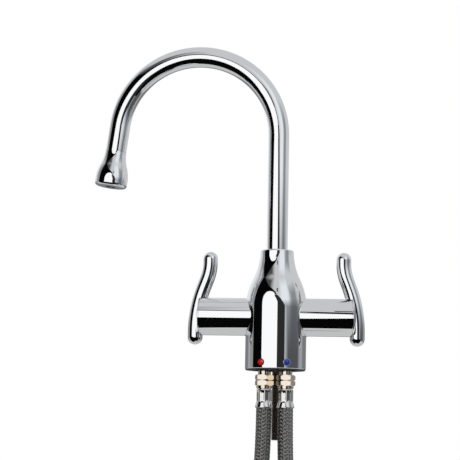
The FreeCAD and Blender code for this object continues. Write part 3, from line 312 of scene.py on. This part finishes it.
hose_routes = {
    "hot": (
        (-0.0096, -0.002, -0.0333), (-0.0096, -0.002, -0.080), (-0.017, -0.007, -0.154),
        (-0.033, -0.004, -0.236), (-0.041, 0.003, -0.312), (-0.041, 0.003, -0.366),
    ),
    "cold": (
        (0.0096, -0.002, -0.0333), (0.0096, -0.002, -0.078), (0.015, -0.008, -0.150),
        (0.031, -0.009, -0.232), (0.044, -0.002, -0.310), (0.044, -0.002, -0.366),
    ),
}
route_steps = 80
core_radius = 0.0064
core_rings = 110
core_steps = 32
braid_radius = 0.00672
braid_lift = 0.00022
braid_pitch = 0.033
strands_each_way = 10
samples_per_crossing = 3
strand_width = 0.0018
strand_crown = 0.00016
strand_section = ((-1.0, 0.0), (-0.35, 0.9), (0.35, 0.9), (1.0, 0.0))
wires_in_strand = 5
# Painted shade: the grooves between a strand's wires are coloured near-black, fading to the wires' grey over
# this share of a wire's height.
groove_shade_reach = 0.35
painted_groove_shade = (0.05, 0.049, 0.047, 1)
wire_shade = (0.46, 0.45, 0.43, 1)

hose_rubber = start_finish("hose_core_rubber", (0.012, 0.012, 0.013))
gloss_between(hose_rubber, cloudy(hose_rubber, 900), 0.55, 0.8)

braid_wire = start_finish("braided_stainless_wire", (0.66, 0.65, 0.63), metal=1.0)
across = add_node(braid_wire, "ShaderNodeUVMap")
split = add_node(braid_wire, "ShaderNodeSeparateXYZ")
wires = add_node(braid_wire, "ShaderNodeMath", operation="MULTIPLY")
wires.inputs[1].default_value = wires_in_strand * math.pi
ridge = add_node(braid_wire, "ShaderNodeMath", operation="SINE")
height = add_node(braid_wire, "ShaderNodeMath", operation="ABSOLUTE")
join(braid_wire, across.outputs["UV"], split.inputs["Vector"])
join(braid_wire, split.outputs["X"], wires.inputs[0])
join(braid_wire, wires.outputs["Value"], ridge.inputs[0])
join(braid_wire, ridge.outputs["Value"], height.inputs[0])
raise_surface(braid_wire, height.outputs["Value"], 0.00008)
# Painted shade in the grooves between the wires: the colour runs from near-black where the wires dip to the
# wires' own grey on their crowns.
groove_shade_fade = add_node(braid_wire, "ShaderNodeMapRange")
groove_shade_fade.inputs["From Max"].default_value = groove_shade_reach
shade = add_node(braid_wire, "ShaderNodeMix", data_type="RGBA")
shade.inputs["A"].default_value = painted_groove_shade
shade.inputs["B"].default_value = wire_shade
join(braid_wire, height.outputs["Value"], groove_shade_fade.inputs["Value"])
join(braid_wire, groove_shade_fade.outputs["Result"], shade.inputs["Factor"])
join(braid_wire, shade.outputs["Result"], shader_of(braid_wire).inputs["Base Color"])
gloss_between(braid_wire, cloudy(braid_wire, 900), 0.2, 0.34)


def hose_centre(route):
    """Points close together along the smooth line that the route's points control."""
    curve = bpy.data.curves.new("hose_line", "CURVE")
    curve.dimensions = "3D"
    spline = curve.splines.new("NURBS")
    spline.points.add(len(route) - 1)
    for point, place in zip(spline.points, route):
        point.co = (*place, 1)
    spline.order_u = 3
    spline.use_endpoint_u = True
    spline.resolution_u = route_steps
    holder = bpy.data.objects.new("hose_line", curve)
    bpy.context.scene.collection.objects.link(holder)
    bpy.context.view_layer.update()
    line = bpy.data.meshes.new_from_object(holder)
    places = [vertex.co.copy() for vertex in line.vertices]
    bpy.data.objects.remove(holder)
    bpy.data.curves.remove(curve)
    bpy.data.meshes.remove(line)
    return places


class HoseLine:
    """The hose's centre line, with a frame at each point that doesn't twist along it."""

    def __init__(self, places):
        self.places = places
        self.reach = [0.0]
        for before, after in zip(places, places[1:]):
            self.reach.append(self.reach[-1] + (after - before).length)
        self.ahead = [(after - before).normalized() for before, after in zip(places, places[1:])]
        self.ahead.append(self.ahead[-1])
        self.out = [Vector((1, 0, 0))]
        for before, after in zip(self.ahead, self.ahead[1:]):
            self.out.append(before.rotation_difference(after) @ self.out[-1])
        self.length = self.reach[-1]

    def point(self, distance, angle, radius):
        """The point at an angle and a radius round the line, at a distance along it."""
        distance = min(max(distance, 0.0), self.length)
        last = len(self.places) - 2
        low = min(int(distance / self.length * (last + 1)), last)
        while low > 0 and self.reach[low] > distance:
            low -= 1
        while low < last and self.reach[low + 1] < distance:
            low += 1
        part = (distance - self.reach[low]) / max(self.reach[low + 1] - self.reach[low], 1e-9)
        centre = self.places[low].lerp(self.places[low + 1], part)
        ahead = self.ahead[low].lerp(self.ahead[low + 1], part).normalized()
        out = self.out[low].lerp(self.out[low + 1], part)
        out = (out - ahead * out.dot(ahead)).normalized()
        return centre + (out * math.cos(angle) + ahead.cross(out) * math.sin(angle)) * radius


def strip_faces(rows, columns, first=0):
    """The faces of a strip whose points stand in rows, counted from its first point."""
    return [(corner, corner + 1, corner + columns + 1, corner + columns)
            for row in range(rows - 1)
            for corner in range(first + row * columns, first + (row + 1) * columns - 1)]


def make_hose(side):
    """The rubber core and every strand of the braid, as one piece on the hose's line."""
    line = HoseLine(hose_centre(hose_routes[side]))
    points = [line.point(line.length * ring / core_rings, 2 * math.pi * step / core_steps, core_radius)
              for ring in range(core_rings + 1) for step in range(core_steps)]
    faces = ring_faces(core_rings + 1, core_steps)
    across_strand = [0.0] * len(points)
    finish_of_face = [0] * len(faces)
    crossing = braid_pitch / (2 * strands_each_way)
    samples = int(line.length / crossing * samples_per_crossing)
    lean = math.atan2(2 * math.pi * braid_radius, braid_pitch)
    for way in (1, -1):
        for strand in range(strands_each_way):
            faces += strip_faces(samples + 1, len(strand_section), first=len(points))
            for sample in range(samples + 1):
                distance = line.length * sample / samples
                angle = 2 * math.pi * strand / strands_each_way + way * 2 * math.pi * distance / braid_pitch
                weave = way * braid_lift * math.cos(math.pi * distance / crossing)
                for edge, crown in strand_section:
                    offset = edge * strand_width / 2
                    radius = braid_radius + weave + strand_crown * crown
                    points.append(line.point(distance - way * offset * math.sin(lean),
                                             angle + offset * math.cos(lean) / braid_radius, radius))
                    across_strand.append((edge + 1) / 2)
    finish_of_face += [1] * (len(faces) - len(finish_of_face))
    piece = piece_from(f"{side}_braided_hose", points, faces, [hose_rubber, braid_wire], smooth_angle=80)
    piece.data.polygons.foreach_set("material_index", finish_of_face)
    layer = piece.data.uv_layers.new(name="across")
    for loop in piece.data.loops:
        layer.data[loop.index].uv = (across_strand[loop.vertex_index], 0.5)
    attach(piece, "tap")
    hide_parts(f"{side}_hose")
    return piece, line


for side in sides:
    route = hose_routes[side]
    make_ferrule(side, "upper", route[0], 1)
    lower = make_ferrule(side, "lower", route[-1], -1)
    hose, line = make_hose(side)

# The lower unions: a brass stem in each hose, a red-brown fibre washer, and a nickel-plated nut
# that spins on the stem. A ridge of thread runs up inside each nut's mouth.

nut_mouth_past_hose = 0.0355
thread_pitch = 0.0018
thread_turns = 4
thread_steps = 48
thread_start = 0.0006
thread_half_width = 0.00055
thread_bore = 0.0094
thread_crest = 0.00915
thread_section = ((-thread_half_width, thread_bore), (0.0, thread_crest), (thread_half_width, thread_bore))

fibre = start_finish("fibre_washer", (0.34, 0.11, 0.07))
gloss_between(fibre, cloudy(fibre, 1500), 0.65, 0.9)
raise_surface(fibre, cloudy(fibre, 3000, stretch=(1, 1, 4)), 0.00005)


def add_nut_thread(side):
    """A helical ridge standing in from the nut's bore."""
    hose_end = hose_routes[side][-1]
    mouth = hose_end[2] - nut_mouth_past_hose
    rows = thread_turns * thread_steps + 1
    points = []
    for step in range(rows):
        angle = 2 * math.pi * step / thread_steps
        climb = mouth + thread_start + thread_pitch * step / thread_steps
        for lift, radius in thread_section:
            points.append((hose_end[0] + radius * math.cos(angle), hose_end[1] + radius * math.sin(angle),
                           climb + lift))
    piece = piece_from(f"{side}_union_thread", points, strip_faces(rows, len(thread_section)), [nickel])
    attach(piece, f"{side}_union")


for side in sides:
    dress(foot_brass, f"{side}_hose_stem")
    dress(fibre, f"{side}_union_washer")
    dress(nickel, f"{side}_union_nut")
    add_nut_thread(side)

# The fixing stud: blackened steel with a rolled thread, screwed into the casting behind the hoses,
# and slotted at its lower end so that it can be turned with a screwdriver.

stud_place = (0.0, 0.013)
stud_head = 0.012
stud_top = -0.0004
stud_bottom = -0.062
stud_crest = 0.0039
stud_root = 0.0033
stud_pitch = 0.00125
stud_lead_in = 0.0008
stud_flank = 1.3
stud_root_flat = 0.15
stud_steps = 40
rings_in_pitch = 8
slot_width = 0.0012
slot_depth = 0.0018
slot_reach = 0.006

black_steel = start_finish("blackened_steel", (0.16, 0.125, 0.10), metal=1.0)
gloss_between(black_steel, cloudy(black_steel, 600), 0.28, 0.42)
raise_surface(black_steel, cloudy(black_steel, 2000), 0.00001)


def stud_radius(height, angle):
    """The rolled thread's radius: narrow crests and roots that climb with the angle."""
    turn = ((height - stud_bottom) / stud_pitch - angle / (2 * math.pi)) % 1.0
    wave = abs(2 * turn - 1) * stud_flank - stud_root_flat
    reach = stud_root + (stud_crest - stud_root) * min(max(wave, 0), 1)
    return min(reach, stud_crest - stud_lead_in + (height - stud_bottom))


def stud_ring(height):
    """The points round the thread at a height."""
    ring = []
    for step in range(stud_steps):
        angle = 2 * math.pi * step / stud_steps
        reach = stud_radius(height, angle)
        ring.append((stud_place[0] + reach * math.cos(angle), stud_place[1] + reach * math.sin(angle),
                     height))
    return ring


ring_heights = [stud_bottom]
while ring_heights[-1] < stud_top:
    ring_heights.append(min(ring_heights[-1] + stud_pitch / rings_in_pitch, stud_top))
stud_rings = [stud_ring(height) for height in ring_heights]
stud_rings.append([(x, y, stud_head) for x, y, _ in stud_rings[-1]])
stud_points = [point for ring in stud_rings for point in ring]
stud_faces = ring_faces(len(stud_rings), stud_steps)
stud_faces.append(tuple(range(stud_steps))[::-1])
stud_faces.append(tuple(range(len(stud_points) - stud_steps, len(stud_points))))
stud = piece_from("rolled_stud", stud_points, stud_faces, [black_steel], smooth_angle=50)

slot_points = [(stud_place[0] + x * slot_reach, stud_place[1] + y * slot_width / 2,
                stud_bottom + z * slot_depth) for x in (-1, 1) for y in (-1, 1) for z in (-1, 1)]
slot_faces = [(0, 1, 3, 2), (4, 6, 7, 5), (0, 4, 5, 1), (2, 3, 7, 6), (0, 2, 6, 4), (1, 5, 7, 3)]
slot_cutter = piece_from("slot_cutter", slot_points, slot_faces, [black_steel])
cut = stud.modifiers.new("screwdriver_slot", "BOOLEAN")
cut.operation = "DIFFERENCE"
cut.solver = "EXACT"
cut.object = slot_cutter
bpy.context.view_layer.objects.active = stud
bpy.ops.object.modifier_apply(modifier=cut.name)
bpy.data.objects.remove(slot_cutter)
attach(stud, "tap")
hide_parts("fixing_stud")

# The floor: a plain sheet of matt pale paper, laid flat just under the hoses' ends, which takes
# the tap's soft shadow.

floor_level = -0.4022
floor_reach = 12
floor_corners = [(-floor_reach, -floor_reach, floor_level), (floor_reach, -floor_reach, floor_level),
                 (floor_reach, floor_reach, floor_level), (-floor_reach, floor_reach, floor_level)]

floor_paper = start_finish("pale_floor_paper", (0.93, 0.93, 0.93), rough=0.9)
floor = piece_from("floor", floor_corners, [(0, 1, 2, 3)], [floor_paper])

# The studio: a pale tent round the tap, one large rounded softbox in front and to the left, and
# black and grey cards, which the chrome mirrors. Nothing but a mirror reflection can see them.
# Outlines are in degrees from the tap's middle: heading (0 is the viewer, right is more) and height.

tent_centre = Vector((0, 0, 0.1))
tent_reach = 2.2
chrome_share = 0.905
edge_steps = 8
card_rings = 16


def as_seen(level):
    """The glow that the chrome shows as a display level from 0 to 255."""
    share = level / 255
    return (share / 12.92 if share <= 0.04045 else ((share + 0.055) / 1.055) ** 2.4) / chrome_share


def hang_card(name, points, faces, level, cover, cool=0.0):
    """A glowing card that only mirrors see, and that is clear where its cover is 0."""
    finish = bpy.data.materials.new(name)
    finish.use_nodes = True
    finish.node_tree.nodes.clear()
    glow = add_node(finish, "ShaderNodeEmission")
    shade = as_seen(level)
    glow.inputs["Color"].default_value = (shade * (1 - cool), shade, shade * (1 + cool), 1)
    clear = add_node(finish, "ShaderNodeBsdfTransparent")
    share = add_node(finish, "ShaderNodeAttribute", attribute_name="cover")
    blend = add_node(finish, "ShaderNodeMixShader")
    output = add_node(finish, "ShaderNodeOutputMaterial")
    join(finish, share.outputs["Fac"], blend.inputs[0])
    join(finish, clear.outputs["BSDF"], blend.inputs[1])
    join(finish, glow.outputs["Emission"], blend.inputs[2])
    join(finish, blend.outputs["Shader"], output.inputs["Surface"])
    card = piece_from(name, points, faces, [finish])
    card.data.attributes.new("cover", "FLOAT", "POINT").data.foreach_set("value", cover)
    card.visible_camera = False
    card.visible_diffuse = False
    card.visible_transmission = False
    card.visible_shadow = False


def curved_card(name, outline, distance, level, soft=0.0, cool=0.0):
    """A card bent round the tap, fading out over a share of the way from its middle to its edge."""
    rim = []
    for corner, (turn, rise) in enumerate(outline):
        next_turn, next_rise = outline[(corner + 1) % len(outline)]
        rim += [(turn + (next_turn - turn) * step / edge_steps, rise + (next_rise - rise) * step / edge_steps)
                for step in range(edge_steps)]
    middle = (sum(turn for turn, _ in rim) / len(rim), sum(rise for _, rise in rim) / len(rim))
    points, cover = [], []
    for ring in range(card_rings + 1):
        out = ring / card_rings
        for turn, rise in rim:
            heading = math.radians(middle[0] + (turn - middle[0]) * out)
            height = math.radians(middle[1] + (rise - middle[1]) * out)
            points.append(tent_centre + distance * Vector((math.sin(heading) * math.cos(height),
                                                          -math.cos(heading) * math.cos(height),
                                                          math.sin(height))))
            cover.append(min((1 - out) / soft, 1) if soft else 1.0)
    hang_card(name, points, ring_faces(card_rings + 1, len(rim)), level, cover, cool)


def oblong(left, right, low, high):
    return ((left, low), (right, low), (right, high), (left, high))


curved_card("tent", oblong(-180, 180, -14, 90), tent_reach, 196, cool=0.02)
curved_card("back_left_glow", oblong(-180, -118, -14, 52), 2.1, 226, soft=0.5, cool=0.03)
curved_card("back_right_glow", oblong(125, 180, -14, 4), 2.1, 225, soft=0.6, cool=0.03)
curved_card("left_grey", oblong(-114, -86, -14, 44), 2.0, 140, soft=0.5, cool=0.03)
curved_card("right_pale", oblong(14, 60, -14, 56), 2.0, 228, soft=0.5, cool=0.05)
curved_card("right_grey", oblong(54, 98, -14, 40), 1.9, 138, soft=0.6, cool=0.08)
curved_card("back_low", oblong(104, 256, -30, 7), 1.2, 120, soft=0.3, cool=0.04)
curved_card("right_low", oblong(26, 118, -40, 14), 1.1, 80, soft=0.55, cool=0.07)
curved_card("upper_shade", oblong(-100, -8, 20, 56), 1.2, 70, soft=0.45)
curved_card("black_card", ((-92, -30), (-90, 10), (-88, 20), (-80, 44), (-70, 47), (-60, 46), (-45, 42),
                           (-30, 37), (-20, 34.5), (-10, 31.5), (0, 27.5), (6, 22), (9, 16), (9, -14),
                           (60, -18), (62, -30)), 1.0, 5)
curved_card("softbox", ((-50.5, 12), (-48, 18), (-43, 22.5), (-35, 26), (-25, 27.5), (-15, 27.5), (-7, 26),
                        (0, 22), (5, 16), (8, 8), (8, -8), (0, -14), (-15, -14), (-22, -12), (-32, -9),
                        (-43, -6), (-50.5, -3)), 0.8, 250)
curved_card("slanted_flag", ((8, -14), (36, -14), (36, 3), (31, 7), (27, 10), (24, 12), (20, 15), (16, 17),
                             (11, 19.5), (8, 21), (-5, 21), (-3.5, 19), (1, 16), (3.6, 13.7), (7.6, 9)),
            0.75, 42)
curved_card("thin_card", oblong(3.5, 10.5, 27, 34), 0.7, 95)

# The floor's reflection: grey all round and black in front, except for a pale patch and a low pale
# wall round the unions, so that their nuts mirror a light floor.

strip_steps = 48
grey_level = floor_level + 0.0004
black_level = floor_level + 0.0008
patch_reach = 0.13
wall_top = -0.31


def bent_strip(name, turns, near, far, level):
    """A strip between two edges, each a distance from the tap's centre line and a height."""
    points = []
    for step in range(strip_steps + 1):
        turn = math.radians(turns[0] + (turns[1] - turns[0]) * step / strip_steps)
        points += [(reach * math.sin(turn), -reach * math.cos(turn), height) for reach, height in (near, far)]
    hang_card(name, points, strip_faces(strip_steps + 1, 2), level, [1.0] * len(points))


bent_strip("grey_sheet", (-180, 180), (0.001, grey_level), (tent_reach, grey_level), 190)
bent_strip("black_sheet", (-92, 65), (patch_reach, black_level), (0.9, black_level), 5)
bent_strip("pale_wall", (-110, 80), (patch_reach, black_level), (patch_reach, wall_top), 205)

# The light: an even white room, which the camera, mirrors and clear pieces see at full white, with
# one broad soft lamp from the front left that gives the rubber, enamel and braid their shape.

scene = bpy.context.scene
world = bpy.data.worlds.new("white_room")
world.use_nodes = True
scene.world = world
background = world.node_tree.nodes["Background"]
background.inputs["Color"].default_value = (1, 1, 1, 1)
path = add_node(world, "ShaderNodeLightPath")
seen = add_node(world, "ShaderNodeMath", operation="MAXIMUM")
bright = add_node(world, "ShaderNodeMath", operation="MAXIMUM")
strength = add_node(world, "ShaderNodeMapRange")
strength.inputs["To Min"].default_value = 0.75
strength.inputs["To Max"].default_value = 1.0
join(world, path.outputs["Is Camera Ray"], seen.inputs[0])
join(world, path.outputs["Is Glossy Ray"], seen.inputs[1])
join(world, seen.outputs["Value"], bright.inputs[0])
join(world, path.outputs["Is Transmission Ray"], bright.inputs[1])
join(world, bright.outputs["Value"], strength.inputs["Value"])
join(world, strength.outputs["Result"], background.inputs["Strength"])

lamp_side = 1.6
lamp = bpy.data.lights.new("soft_lamp", "AREA")
lamp.shape = "RECTANGLE"
lamp.size = lamp_side
lamp.size_y = lamp_side
lamp.energy = 16
lamp_holder = bpy.data.objects.new("soft_lamp", lamp)
lamp_holder.location = (-1.3, -1.9, 1.5)
lamp_holder.rotation_euler = (-lamp_holder.location).to_track_quat("-Z", "Y").to_euler()
lamp_holder.visible_glossy = False
scene.collection.objects.link(lamp_holder)

# The camera: a long lens a little below the tap's base, looking slightly up, and turned so that
# the tap stands right of the frame's centre and leans by about a degree, as photographed.

picture_width = 460
focal_in_pixels = 1600
film_width = 36
camera_bearing = math.radians(3.4)
camera_distance = 1.44
camera_height = -0.0714
aim_left = math.radians(1.7136)
look_up = math.radians(7.83)
roll = math.radians(1.1)

camera_data = bpy.data.cameras.new("camera")
camera_data.sensor_width = film_width
camera_data.lens = film_width * focal_in_pixels / picture_width
camera_data.clip_start = 0.05
camera_data.clip_end = 60
camera = bpy.data.objects.new("camera", camera_data)
camera_place = Vector((camera_distance * math.sin(camera_bearing),
                       -camera_distance * math.cos(camera_bearing), camera_height))
camera.matrix_world = (Matrix.Translation(camera_place)
                       @ Matrix.Rotation(camera_bearing + aim_left, 4, "Z")
                       @ Matrix.Rotation(math.radians(90) + look_up, 4, "X")
                       @ Matrix.Rotation(roll, 4, "Z"))
scene.collection.objects.link(camera)
scene.camera = camera
scene.view_settings.view_transform = "Standard"
